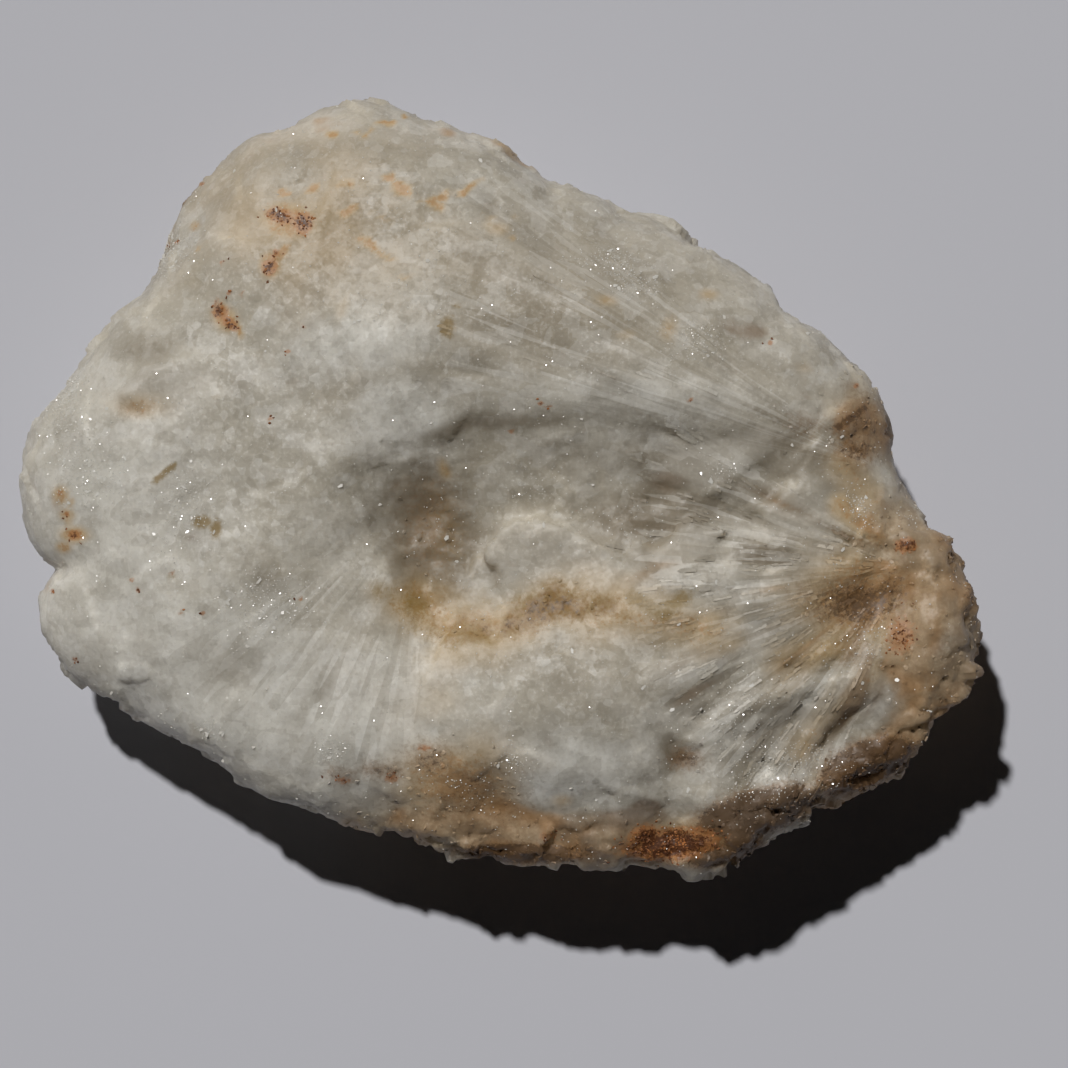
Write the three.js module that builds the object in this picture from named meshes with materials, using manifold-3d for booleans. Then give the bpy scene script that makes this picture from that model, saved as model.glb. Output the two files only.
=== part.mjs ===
// A hand-sized lump of massive celestine, seen from above along -Z, resting on a broken flat.
// It is one body of intergrown crystals: a rounded cushion with a rough outline, a hollow in its
// crown, cleavage plates lying on it, and a fan of long blades that spreads from a crusted end.
// Millimetres, +Z up, +X towards the crusted end. The origin is under the middle of its box.
import * as THREE from "three";
import { ConvexGeometry } from "three/addons/geometries/ConvexGeometry.js";
import { mergeVertices } from "three/addons/utils/BufferGeometryUtils.js";
import Module from "manifold-3d";

// Driving dimensions
const CROWN_HEIGHT = 21.6; // height of the crown over the table, before its swells
const CROWN_FALL = 2.0; // how much lower the crown's cap lies out at the rim
const RIM_HEIGHT = 12.0; // mean height of the widest contour over the table
const RIM_TILT = [0.055, -0.065]; // the rim rises towards +X and towards -Y, mm per mm
const RIM_WAVE = { size: 15, rise: 2.0 }; // and it wanders up and down on its way round
const SIDE_POWER = 9.0; // squareness of the shoulder above the rim
const UNDER_POWER = 3.0; // squareness of the belly under the rim
const BELLY_SINK = 2.6; // how far the belly would reach below the table if it weren't broken flat
const EDGE_FADE = 0.07; // share of the radius over which the crown's relief dies out at the rim
const SOFT_SHARE = 0.76; // the outline's small bumps start at this share of the radius
const SOFT_REACH = 0.011; // step round the outline, as a share of it, over which they are smoothed
const SOFT_STEPS = 2; // steps taken to each side

// Mesh sizes
const TOP_EDGE = 1.86; // length of a triangle's side above the rim
const UNDER_EDGE = 3.4; // and under it
const MEAN_RADIUS = 41.5; // used only to space the rings evenly over the shoulder

// The outline seen from above, anticlockwise from the crusted end.
const OUTLINE = [
  [41.4, -1.9], [39.9, 1.1], [38.9, 3.2], [39.3, 5.8], [37.5, 9.6], [34.6, 12.8], [31.6, 15.6],
  [28.3, 17.0], [27.0, 19.1], [24.4, 21.4], [21.3, 23.0], [18.4, 24.6], [15.8, 26.6], [11.5, 27.6],
  [10.6, 28.5], [6.6, 29.5], [3.9, 29.7], [3.5, 31.2], [1.8, 31.9], [0.3, 33.8], [-3.5, 35.3],
  [-7.8, 37.1], [-12.4, 38.5], [-15.4, 38.65], [-19.0, 37.3], [-21.2, 35.7], [-25.0, 35.3],
  [-28.2, 33.0], [-31.8, 28.3], [-33.6, 24.1], [-35.4, 20.0], [-39.8, 16.2], [-42.2, 13.0],
  [-44.3, 9.4], [-47.3, 5.4], [-48.5, 0.9], [-47.6, -3.5], [-46.4, -7.0], [-43.5, -8.5],
  [-45.5, -9.8], [-46.2, -12.4], [-45.1, -16.2], [-42.5, -19.6], [-37.6, -22.4], [-33.6, -25.2],
  [-28.5, -28.3], [-22.6, -31.7], [-18.3, -33.0], [-14.8, -34.1], [-9.4, -34.9], [-6.8, -36.7],
  [-1.5, -37.1], [4.7, -37.4], [8.4, -38.3], [12.4, -38.4], [14.0, -38.0], [18.0, -38.65],
  [22.2, -38.2], [28.6, -35.3], [33.6, -32.7], [37.4, -31.4], [40.3, -28.9], [41.4, -25.9],
  [44.6, -22.9], [47.1, -19.3], [48.5, -14.7], [46.8, -10.7], [44.4, -5.3], [42.3, -4.3],
];

// Broad swells and hollows of the crown: middle, the two radii, turn in degrees, and rise.
const SWELLS = [
  { at: [-26.0, 2.0], radii: [20, 15], turn: -20, rise: 1.0 }, // broad left shoulder
  { at: [-10.0, 22.0], radii: [24, 11], turn: -15, rise: 1.4 }, // upper shoulder
  { at: [10.5, 12.0], radii: [22, 7], turn: -8, rise: 2.0 }, // band above the hollow
  { at: [-5.2, -6.3], radii: [8.6, 7.4], turn: 0, rise: -3.8 }, // the hollow
  { at: [13.0, -3.0], radii: [14, 6], turn: -5, rise: -2.4 }, // its run towards the fan
  { at: [8.0, -22.0], radii: [15, 9], turn: 10, rise: 1.4 }, // low white dome
  { at: [5.5, -12.6], radii: [14, 2.4], turn: 3, rise: -0.6 }, // crease between dome and plate
  { at: [34.8, -11.8], radii: [6, 3], turn: 5, rise: -2.2 }, // trench at the root of the fan
  { at: [43.0, -11.5], radii: [3.5, 8], turn: -12, rise: 0.8 }, // crusted collar
  { at: [36.0, -27.0], radii: [13, 9], turn: -30, rise: -3.4 }, // falls away under the fan
  { at: [-4.0, -34.0], radii: [16, 5], turn: 0, rise: -2.2 }, // stained lower slope
  { at: [-36.0, -14.0], radii: [10, 8], turn: 20, rise: -0.8 }, // low left corner
  { at: [17.0, -34.5], radii: [4, 2.5], turn: 0, rise: -1.6 }, // rusty pocket
];

// Broken edges. The ground to the right of the line, walking along it, lies lower by drop at the
// line, and comes back level over foot.
const LEDGES = [
  { // upper lip of the hollow
    line: [[-12.5, 2.2], [-6.9, 4.6], [-2.0, 6.0], [6.2, 6.6], [19.2, 6.1], [26.7, 6.1]],
    drop: 1.2, foot: 9.0,
  },
  { // left wall of the hollow
    line: [[-9.8, -13.4], [-9.7, -8.4], [-11.6, -3.6], [-14.8, 1.5]],
    drop: 0.6, foot: 7.0,
  },
  { // foot of the white dome
    line: [[-5.8, -25.5], [-2.8, -28.5], [3.5, -31.2], [10.2, -29.7], [15.2, -30.8]],
    drop: 0.7, foot: 5.0,
  },
  { // right edge of the white dome
    line: [[16.0, -28.0], [15.7, -23.5], [12.5, -18.0]],
    drop: 1.1, foot: 4.0,
  },
  { // outer shell-like ripple
    line: [[-24.8, 28.1], [-19.8, 29.1], [-14.8, 29.6], [-9.8, 29.4], [-5.8, 27.8]],
    drop: 0.7, foot: 4.0,
  },
  { // inner shell-like ripple
    line: [[-16.3, 25.8], [-12.8, 26.4], [-9.3, 25.6], [-2.8, 21.1], [2.2, 20.1]],
    drop: 0.6, foot: 4.0,
  },
  { // step along the banded right shoulder
    line: [[4.2, 15.6], [12.2, 15.1], [20.2, 13.6], [26.2, 11.6]],
    drop: 0.8, foot: 4.0,
  },
  { // inner side of the crusted collar
    line: [[37.2, -6.0], [40.7, -7.5], [41.7, -11.5], [40.7, -16.5], [38.2, -20.5], [35.2, -25.5]],
    drop: 1.5, foot: 3.5,
  },
];
const LEDGE_WIDTH = 4.6; // width over which the ground steps down

// Cleavage plates: tabular crystals whose flat tops stand over the mass by rise, with a fall along
// tilt in mm per mm.
const PLATES = [
  { // plate in the hollow
    rim: [[-2.0, -7.5], [-0.3, -3.9], [4.0, -3.2], [11.0, -6.0], [13.6, -10.7], [8.0, -11.6],
      [1.2, -10.0]],
    rise: 0.8, tilt: [0.03, 0.08],
  },
  { // plate behind the collar
    rim: [[25.4, -3.7], [28.0, -0.1], [31.4, -1.0], [33.6, -4.1], [29.2, -5.4]],
    rise: 0.9, tilt: [-0.08, 0.1],
  },
  { // long plate under the lip
    rim: [[14.4, 1.3], [18.6, 4.3], [26.4, 6.0], [27.0, 3.3], [20.2, -0.7]],
    rise: 0.7, tilt: [0.03, 0.12],
  },
  { // short bright plate
    rim: [[14.2, -7.0], [18.4, -3.9], [22.2, -4.5], [20.2, -7.0], [16.7, -9.0]],
    rise: 0.9, tilt: [0.08, 0.0],
  },
  { // small flat facet in the grey ground
    rim: [[12.6, -6.2], [13.2, -5.2], [14.4, -5.6], [14.2, -7.4], [13.0, -7.4]],
    rise: 0.6, tilt: [0.0, 0.2],
  },
  { // plate on the lit crown
    rim: [[6.3, 21.3], [9.6, 22.6], [15.6, 21.0], [16.4, 18.8], [10.0, 18.6]],
    rise: 0.25, tilt: [-0.03, -0.22],
  },
  { // broken block on the left
    rim: [[-37.8, 8.5], [-34.8, 11.3], [-29.8, 12.5], [-26.8, 10.6], [-31.8, 6.0]],
    rise: 0.5, tilt: [0.0, 0.07],
  },
  { // block at the dome's crease
    rim: [[12.8, -13.2], [15.8, -11.6], [19.0, -12.2], [18.0, -15.0], [14.0, -15.6]],
    rise: 0.6, tilt: [0.02, 0.1],
  },
];
const PLATE_DEPTH = 4.0; // how deep a plate is rooted in the mass
const PLATE_FLARE = 0.8; // its root is this share of its top's width

// Single long blades of the fan, each from its thick end to its tip, with the width at both.
const LONG_BLADES = [
  { from: [37.2, -6.2], to: [20.5, -10.2], widths: [1.6, 2.2], rise: 0.6 }, // longest
  { from: [37.0, -7.6], to: [25.0, -13.2], widths: [1.6, 1.8], rise: 0.5 }, // under it
  { from: [31.4, -20.0], to: [20.4, -24.8], widths: [1.4, 3.0], rise: 1.0 }, // spear
  { from: [34.4, -28.4], to: [24.6, -30.8], widths: [2.2, 2.6], rise: 1.2 }, // lowest
  { from: [37.6, -17.0], to: [30.4, -24.6], widths: [1.8, 2.4], rise: 0.8 }, // along the collar
  { from: [38.0, 7.4], to: [32.6, 5.2], widths: [2.4, 1.8], rise: 0.7 }, // at the upper rim
  { from: [33.8, -2.6], to: [24.0, 4.6], widths: [1.6, 2.4], rise: 0.8 }, // up towards the lip
  { from: [7.6, 5.0], to: [2.6, 4.2], widths: [0.9, 1.2], rise: 0.6 }, // thin one under the lip
];

// The shorter blades: in each fan, rows at growing distances from its root, turned evenly from the
// first heading to the last, each blade a little off its place.
const FANS = [
  { // the fan that spreads from the crusted end
    root: [40.5, -8.0], headings: [150, 244],
    rows: [
      { distance: 6, count: 6, length: 7, width: 1.6, rise: 0.45 },
      { distance: 12, count: 8, length: 8, width: 2.2, rise: 0.5 },
      { distance: 18.5, count: 8, length: 9, width: 2.6, rise: 0.45 },
    ],
  },
  { // the band that sweeps along the upper right shoulder
    root: [38.0, 1.5], headings: [146, 166],
    rows: [
      { distance: 9, count: 3, length: 10, width: 2.0, rise: 0.35 },
      { distance: 20, count: 4, length: 12, width: 2.6, rise: 0.35 },
      { distance: 33, count: 3, length: 11, width: 2.6, rise: 0.3 },
    ],
  },
  { // the low fibres that run down the left of the hollow
    root: [-7.0, 0.0], headings: [222, 262],
    rows: [
      { distance: 8, count: 4, length: 9, width: 2.4, rise: 0.3 },
      { distance: 17, count: 4, length: 10, width: 3.0, rise: 0.3 },
    ],
  },
];
const FAN_JITTER = { heading: 4, distance: 1.5, size: 0.3 };
const BLADE_DEPTH = 3.5; // how deep a blade is rooted
const LONG_BLADE_LEAN = 0.7; // how far a long blade's top leans over to one side, from 0 to 1
const BLADE_TIP_DROP = 0.8; // a blade's high edge is lower at its tip, by this share

// Flat breaks on the sides and the belly: a point of the break, and the way it faces.
const BREAKS = [
  { at: [-38.4, 16.6, 14.2], facing: [-0.66, 0.52, 0.54] },
  { at: [-36.6, -24.4, 12.6], facing: [-0.56, -0.72, 0.42] },
  { at: [-8, -35, 17], facing: [-0.1, -0.8, 0.6] },
  { at: [32, -32.4, 14.6], facing: [0.46, -0.7, 0.55] },
  { at: [35.6, 13.2, 16.2], facing: [0.64, 0.62, 0.46] },
  { at: [-18, 36.4, 14.6], facing: [-0.2, 0.84, 0.5] },
  { at: [46.4, -11, 17.5], facing: [0.85, -0.1, 0.52] },
  { at: [45.4, -21.2, 17], facing: [0.72, -0.5, 0.48] },
  { at: [-36, 8, 2.6], facing: [-0.55, 0.1, -0.83] },
  { at: [-22, -24, 3.0], facing: [-0.3, -0.5, -0.81] },
  { at: [14, -29, 3.6], facing: [0.12, -0.66, -0.74] },
  { at: [39, -16, 4.4], facing: [0.66, -0.16, -0.73] },
  { at: [28, 10, 3.4], facing: [0.42, 0.5, -0.76] },
  { at: [-14, 28, 2.8], facing: [-0.1, 0.62, -0.78] },
];
const BREAK_BLOCK = 70; // side of the block that a break takes away

// Relief of the mass: size of its shapes and how far they rise
const GRAIN = { size: 5.5, rise: 0.4 };
const BAND = { at: [14.0, 12.5], radii: [17, 6], turn: -9, width: 3.2, length: 10, rise: 0.5 };
const LUMPS = [{ size: 13, rise: 1.5 }, { size: 6, rise: 0.9 }];
const LUMPS_ON_CROWN = 0.4; // share of their rise that the lumps keep on the flat crown
const LUMPS_AT_RIM = 0.25; // and at the rim, so that the outline stays as drawn

const TAU = Math.PI * 2;
const smooth = (t) => THREE.MathUtils.smoothstep(t, 0, 1);
const toRadians = THREE.MathUtils.degToRad;

// A repeatable random number from 0 to 1 for a cell of a grid.
function chance(i, j, k) {
  const s = Math.sin(i * 127.1 + j * 311.7 + k * 74.7) * 43758.5453;
  return s - Math.floor(s);
}

// Smooth noise in space, from -1 to 1, with features one unit apart.
function lumpiness(x, y, z, seed) {
  const cell = [x, y, z].map(Math.floor);
  const [fx, fy, fz] = [x, y, z].map((v, n) => smooth(v - cell[n]));
  const corner = (a, b, c) => chance(cell[0] + a, cell[1] + b, (cell[2] + c) * 1.7 + seed);
  const edge = (b, c) => THREE.MathUtils.lerp(corner(0, b, c), corner(1, b, c), fx);
  const side = (c) => THREE.MathUtils.lerp(edge(0, c), edge(1, c), fy);
  return THREE.MathUtils.lerp(side(0), side(1), fz) * 2 - 1;
}

// Broken facets, one unit across: the highest of the tilted bumps round a point.
function facets(u, v, seed) {
  let highest = -Infinity;
  const i0 = Math.floor(u);
  const j0 = Math.floor(v);
  for (let i = i0 - 1; i <= i0 + 1; i++) {
    for (let j = j0 - 1; j <= j0 + 1; j++) {
      const du = u - (i + chance(i, j, seed));
      const dv = v - (j + chance(i, j, seed + 1));
      const tilt = (chance(i, j, seed + 2) * 2 - 1) * du + (chance(i, j, seed + 3) * 2 - 1) * dv;
      highest = Math.max(highest, chance(i, j, seed + 4) - 0.5 + tilt - du * du - dv * dv);
    }
  }
  return highest;
}

// Share of a rounded patch at a point: 1 in its middle, falling to 0 over its two radii.
function patch(x, y, { at, radii, turn }) {
  const a = toRadians(turn);
  const dx = x - at[0];
  const dy = y - at[1];
  const along = (dx * Math.cos(a) + dy * Math.sin(a)) / radii[0];
  const across = (-dx * Math.sin(a) + dy * Math.cos(a)) / radii[1];
  return Math.exp(-(along * along + across * across));
}

// Distance to a chain of points, positive on its right, and how far past an end the point lies.
function beside(x, y, line) {
  let best = { distance: Infinity, pastEnd: 0 };
  for (let n = 0; n + 1 < line.length; n++) {
    const [ax, ay] = line[n];
    const ex = line[n + 1][0] - ax;
    const ey = line[n + 1][1] - ay;
    const length = Math.hypot(ex, ey);
    const along = ((x - ax) * ex + (y - ay) * ey) / length;
    const held = THREE.MathUtils.clamp(along, 0, length);
    const away = Math.hypot(x - ax - (ex * held) / length, y - ay - (ey * held) / length);
    if (away < Math.abs(best.distance)) {
      const first = n === 0 ? Math.max(0, -along) : 0;
      const last = n + 2 === line.length ? Math.max(0, along - length) : 0;
      const right = (x - ax) * ey - (y - ay) * ex >= 0 ? 1 : -1;
      best = { distance: away * right, pastEnd: first + last };
    }
  }
  return best;
}

function ledge(x, y, { line, drop, foot }) {
  const { distance, pastEnd } = beside(x, y, line);
  const step = smooth(distance / LEDGE_WIDTH + 0.5);
  const ground = Math.exp(-((Math.max(0, distance) / foot) ** 2));
  return -drop * step * ground * Math.exp(-((pastEnd / LEDGE_WIDTH) ** 2));
}

function fibres(x, y, band, seed) {
  const a = toRadians(band.turn);
  const along = x * Math.cos(a) + y * Math.sin(a);
  const across = -x * Math.sin(a) + y * Math.cos(a);
  return facets(across / band.width, along / band.length, seed) * band.rise * patch(x, y, band);
}

// Height of the crown's cap, without the shoulder that turns down to the rim.
function crownHeight(x, y, share) {
  const swells = SWELLS.reduce((sum, swell) => sum + swell.rise * patch(x, y, swell), 0);
  return CROWN_HEIGHT - CROWN_FALL * share * share + swells;
}

function relief(x, y) {
  const ledges = LEDGES.reduce((sum, l) => sum + ledge(x, y, l), 0);
  return ledges + facets(x / GRAIN.size, y / GRAIN.size, 11) * GRAIN.rise + fibres(x, y, BAND, 41);
}

const outline = new THREE.CatmullRomCurve3(
  OUTLINE.map(([x, y]) => new THREE.Vector3(x, y, 0)),
  true,
  "centripetal",
);
outline.arcLengthDivisions = 1200;

// The outline at a share of the way round, for a ring at a share of the radius. The rings near the
// middle follow a smoother outline.
function edgePoint(around, share) {
  const exact = outline.getPointAt(around % 1);
  const soft = new THREE.Vector3();
  for (let n = -SOFT_STEPS; n <= SOFT_STEPS; n++) {
    soft.add(outline.getPointAt((around + n * SOFT_REACH + 1) % 1));
  }
  soft.divideScalar(2 * SOFT_STEPS + 1);
  return soft.lerp(exact, smooth((share - SOFT_SHARE) / (1 - SOFT_SHARE)));
}

// A point of the skin: share is its plan distance from the middle as a share of the outline's, from 0
// to 1, and up is 1 above the rim and -1 under it.
function skinPoint(around, share, up) {
  const edge = edgePoint(around, share);
  const [x, y] = [edge.x * share, edge.y * share];
  const radius = Math.hypot(edge.x, edge.y);
  const wave = lumpiness(edge.x / RIM_WAVE.size, edge.y / RIM_WAVE.size, 0, 5) * RIM_WAVE.rise * share;
  const rim = RIM_HEIGHT + RIM_TILT[0] * x + RIM_TILT[1] * y + wave;
  const power = up > 0 ? SIDE_POWER : UNDER_POWER;
  const fullness = Math.sqrt(Math.max(0, 1 - share ** power));
  const reachUp = up > 0 ? crownHeight(x, y, share) - rim : rim + BELLY_SINK;
  const fade = smooth((1 - share) / EDGE_FADE);
  const height = rim + up * reachUp * fullness + (up > 0 ? relief(x, y) * fade : 0);

  // The smooth skin's outward direction, along which the lumps stand
  const outward = (power * share ** (power - 1)) / radius;
  const upward = (2 * up * fullness) / reachUp;
  const facing = new THREE.Vector3((edge.x / radius) * outward, (edge.y / radius) * outward, upward);
  facing.normalize();
  const lean = up > 0 ? THREE.MathUtils.lerp(1, LUMPS_ON_CROWN, facing.z) : 1;
  const rough = LUMPS.reduce(
    (sum, { size, rise }, n) => sum + rise * lumpiness(x / size, y / size, height / size, 50 + n * 10),
    0,
  );
  const atRim = THREE.MathUtils.lerp(LUMPS_AT_RIM, 1, fade);
  return new THREE.Vector3(x, y, height).addScaledVector(facing, rough * lean * atRim);
}

// Shares of the radius that space rings evenly along a side's profile.
function ringShares(power, tall, edge) {
  const fine = 2000;
  const lengths = [0];
  const heightAt = (s) => tall * Math.sqrt(Math.max(0, 1 - s ** power));
  for (let n = 1; n <= fine; n++) {
    const rise = heightAt(n / fine) - heightAt((n - 1) / fine);
    lengths.push(lengths[n - 1] + Math.hypot(MEAN_RADIUS / fine, rise));
  }
  const rings = Math.round(lengths[fine] / (edge * Math.sin(TAU / 6)));
  const shares = [];
  for (let r = 1; r < rings; r++) {
    const wanted = (lengths[fine] * r) / rings;
    shares.push(lengths.findIndex((l) => l >= wanted) / fine);
  }
  return shares;
}

// Joins two closed rings of points with a band of triangles, always to the ring whose next point
// comes first on the way round.
function stitch(triangles, a, b) {
  let i = 0;
  let j = 0;
  while (i < a.count || j < b.count) {
    const nextA = (i + 1 + a.shift) / a.count;
    const nextB = (j + 1 + b.shift) / b.count;
    const pointA = a.first + (i % a.count);
    const pointB = b.first + (j % b.count);
    if (j >= b.count || (i < a.count && nextA < nextB)) {
      triangles.push(pointA, pointB, a.first + ((i + 1) % a.count));
      i++;
    } else {
      triangles.push(pointA, pointB, b.first + ((j + 1) % b.count));
      j++;
    }
  }
}

function massGeometry() {
  const points = [];
  const triangles = [];
  const length = outline.getLength();
  const topShares = ringShares(SIDE_POWER, CROWN_HEIGHT - RIM_HEIGHT, TOP_EDGE);
  const underShares = ringShares(UNDER_POWER, RIM_HEIGHT, UNDER_EDGE).reverse();
  const rings = [
    ...topShares.map((share) => ({ share, up: 1, edge: TOP_EDGE })),
    { share: 1, up: 1, edge: TOP_EDGE },
    ...underShares.map((share) => ({ share, up: -1, edge: UNDER_EDGE })),
  ];
  points.push(skinPoint(0, 0, 1));
  let before = null;
  rings.forEach(({ share, up, edge }, n) => {
    // Every other ring starts half a step on, so that no seam shows
    const ring = {
      first: points.length,
      count: Math.max(6, Math.round((length * share) / edge)),
      shift: (n % 2) / 2,
    };
    for (let i = 0; i < ring.count; i++) points.push(skinPoint((i + ring.shift) / ring.count, share, up));
    if (before) stitch(triangles, before, ring);
    else for (let i = 0; i < ring.count; i++) triangles.push(0, 1 + i, 1 + ((i + 1) % ring.count));
    before = ring;
  });
  const last = points.push(skinPoint(0, 0, -1)) - 1;
  for (let i = 0; i < before.count; i++) {
    triangles.push(before.first + i, last, before.first + ((i + 1) % before.count));
  }
  const geometry = new THREE.BufferGeometry().setFromPoints(points);
  geometry.setIndex(triangles);
  return geometry;
}

const wasm = await Module();
wasm.setup();

// A closed geometry as a solid that can be joined and cut.
function solid(geometry) {
  const bare = geometry.clone();
  bare.deleteAttribute("normal");
  bare.deleteAttribute("uv");
  const merged = mergeVertices(bare, 1e-4);
  return new wasm.Manifold(new wasm.Mesh({
    numProp: 3,
    vertProperties: new Float32Array(merged.attributes.position.array),
    triVerts: new Uint32Array(merged.index.array),
  }));
}

const mass = massGeometry();
const massMesh = new THREE.Mesh(mass);
massMesh.material.side = THREE.DoubleSide;

// Height of the mass under a point of the plan.
function groundAt(x, y) {
  const ray = new THREE.Raycaster(new THREE.Vector3(x, y, 100), new THREE.Vector3(0, 0, -1));
  return ray.intersectObject(massMesh)[0].point.z;
}

function plateSolid({ rim, rise, tilt }) {
  const middle = rim.reduce((sum, [x, y]) => [sum[0] + x / rim.length, sum[1] + y / rim.length], [0, 0]);
  const ground = rim.reduce((sum, [x, y]) => sum + groundAt(x, y) / rim.length, 0);
  const corners = [];
  rim.forEach(([x, y]) => {
    const dx = x - middle[0];
    const dy = y - middle[1];
    const top = ground + rise + tilt[0] * dx + tilt[1] * dy;
    corners.push(new THREE.Vector3(x, y, top));
    const foot = [middle[0] + dx * PLATE_FLARE, middle[1] + dy * PLATE_FLARE];
    corners.push(new THREE.Vector3(...foot, top - PLATE_DEPTH));
  });
  return solid(new ConvexGeometry(corners));
}

// A blade: a long flat crystal, high along one edge and dipping at the other, cut slanting at its
// tip. The lean says which edge is high, by its sign, and how much the other dips.
function bladeSolid({ from, to, widths, rise }, lean) {
  const along = new THREE.Vector2(to[0] - from[0], to[1] - from[1]);
  const length = along.length();
  along.normalize();
  const [w0, w1] = widths.map((width) => width / 2);
  const high = lean > 0 ? 1 : -1;
  const low = rise * (1 - Math.abs(lean));
  const tops = [
    { distance: 0, aside: w0 * high, lift: rise },
    { distance: 0, aside: -w0 * high, lift: low },
    { distance: length - w1, aside: w1 * high, lift: rise * BLADE_TIP_DROP },
    { distance: length, aside: 0, lift: low * BLADE_TIP_DROP },
    { distance: length - w1 * 2, aside: -w1 * high, lift: low },
  ];
  const corners = tops.flatMap(({ distance, aside, lift }) => {
    const x = from[0] + along.x * distance - along.y * aside;
    const y = from[1] + along.y * distance + along.x * aside;
    const top = groundAt(x, y) + lift;
    return [new THREE.Vector3(x, y, top), new THREE.Vector3(x, y, top - BLADE_DEPTH)];
  });
  return solid(new ConvexGeometry(corners));
}

function fanBlades({ root, headings, rows }, fan) {
  const blades = [];
  rows.forEach(({ distance, count, length, width, rise }, row) => {
    for (let n = 0; n < count; n++) {
      const off = (k) => chance(row * 31 + n, k, 3 + fan) * 2 - 1;
      const heading = THREE.MathUtils.lerp(headings[0], headings[1], (n + 0.5) / count);
      const a = toRadians(heading + off(1) * FAN_JITTER.heading);
      const start = distance + off(2) * FAN_JITTER.distance;
      const end = start + length * (1 + off(3) * FAN_JITTER.size);
      const point = (r) => [root[0] + Math.cos(a) * r, root[1] + Math.sin(a) * r];
      const wide = width * (1 + off(4) * FAN_JITTER.size);
      blades.push(bladeSolid({ from: point(start), to: point(end), widths: [wide, wide], rise }, off(5)));
    }
  });
  return blades;
}

// The block that a flat break takes away: its face lies in the break.
function breakSolid({ at, facing }) {
  const out = new THREE.Vector3(...facing).normalize();
  const block = new THREE.BoxGeometry(BREAK_BLOCK, BREAK_BLOCK, BREAK_BLOCK);
  block.translate(0, 0, BREAK_BLOCK / 2);
  block.applyQuaternion(new THREE.Quaternion().setFromUnitVectors(new THREE.Vector3(0, 0, 1), out));
  block.translate(...at);
  return solid(block);
}

function lumpGeometry() {
  const table = new THREE.BoxGeometry(BREAK_BLOCK * 2, BREAK_BLOCK * 2, BREAK_BLOCK);
  table.translate(0, 0, -BREAK_BLOCK / 2);
  const crystals = [
    ...PLATES.map(plateSolid),
    ...LONG_BLADES.map((blade, n) => bladeSolid(blade, n % 2 ? LONG_BLADE_LEAN : -LONG_BLADE_LEAN)),
    ...FANS.flatMap(fanBlades),
  ];
  let lump = crystals.reduce((joined, crystal) => joined.add(crystal), solid(mass));
  lump = BREAKS.reduce((left, broken) => left.subtract(breakSolid(broken)), lump);
  lump = lump.subtract(solid(table));
  const { vertProperties, triVerts } = lump.getMesh();
  const geometry = new THREE.BufferGeometry();
  geometry.setAttribute("position", new THREE.BufferAttribute(vertProperties, 3));
  geometry.setIndex(new THREE.BufferAttribute(triVerts, 1));
  geometry.computeBoundingBox();
  const { min, max } = geometry.boundingBox;
  geometry.translate(-(min.x + max.x) / 2, -(min.y + max.y) / 2, -min.z);
  geometry.computeVertexNormals();
  return geometry;
}

const celestine = new THREE.MeshStandardMaterial({ color: 0xc9c5ba, roughness: 0.55, metalness: 0 });
const lump = new THREE.Mesh(lumpGeometry(), celestine);
lump.name = "celestine_lump";

const part = new THREE.Group();
part.add(lump);

export default part;
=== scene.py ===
import math

import bmesh
import bpy
import numpy as np
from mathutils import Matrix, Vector


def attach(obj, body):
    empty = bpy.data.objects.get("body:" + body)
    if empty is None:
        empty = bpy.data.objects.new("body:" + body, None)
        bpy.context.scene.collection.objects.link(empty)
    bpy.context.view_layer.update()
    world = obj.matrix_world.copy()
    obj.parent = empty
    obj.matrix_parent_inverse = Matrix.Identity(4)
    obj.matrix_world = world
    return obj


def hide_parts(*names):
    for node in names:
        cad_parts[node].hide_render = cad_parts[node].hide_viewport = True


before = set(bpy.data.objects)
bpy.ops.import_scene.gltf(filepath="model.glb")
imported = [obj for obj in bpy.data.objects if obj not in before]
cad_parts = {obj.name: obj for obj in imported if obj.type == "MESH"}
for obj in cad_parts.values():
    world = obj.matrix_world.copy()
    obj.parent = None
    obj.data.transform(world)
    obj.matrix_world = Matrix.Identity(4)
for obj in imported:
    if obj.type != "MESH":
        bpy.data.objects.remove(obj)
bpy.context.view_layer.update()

scene = bpy.context.scene

# The lump
# A broken mass of white celestine: cleavage blades and grains grown together, milky where the grains
# are fine and greyer where they are clear. Iron water has stained its cracks, its hollow and its crust.
MM = 0.001
SKIN_GRID = 0.44  # millimetres between points of the fine surface
WELD = 0.001  # millimetres within which corners of the solid are one
EASE_SHARE = 0.5
EASE_ROUNDS = 20

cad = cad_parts["celestine_lump"]
lump_mesh = cad.data.copy()
shape = bmesh.new()
shape.from_mesh(lump_mesh)
bmesh.ops.remove_doubles(shape, verts=shape.verts, dist=WELD * MM)
shape.to_mesh(lump_mesh)
shape.free()
lump_mesh.materials.clear()
lump = bpy.data.objects.new("celestine_mass", lump_mesh)
scene.collection.objects.link(lump)

# One even skin over the solid, with the steps of the grid eased away
grid = lump.modifiers.new("grid", "REMESH")
grid.mode = "VOXEL"
grid.voxel_size = SKIN_GRID * MM
ease = lump.modifiers.new("ease", "SMOOTH")
ease.factor = EASE_SHARE
ease.iterations = EASE_ROUNDS
lump_mesh = bpy.data.meshes.new_from_object(lump.evaluated_get(bpy.context.evaluated_depsgraph_get()))
lump.modifiers.clear()
lump.data = lump_mesh


def points_of(mesh):
    """Where a mesh's points are, in millimetres."""
    flat = np.empty(len(mesh.vertices) * 3)
    mesh.vertices.foreach_get("co", flat)
    return flat.reshape(-1, 3) / MM


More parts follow.
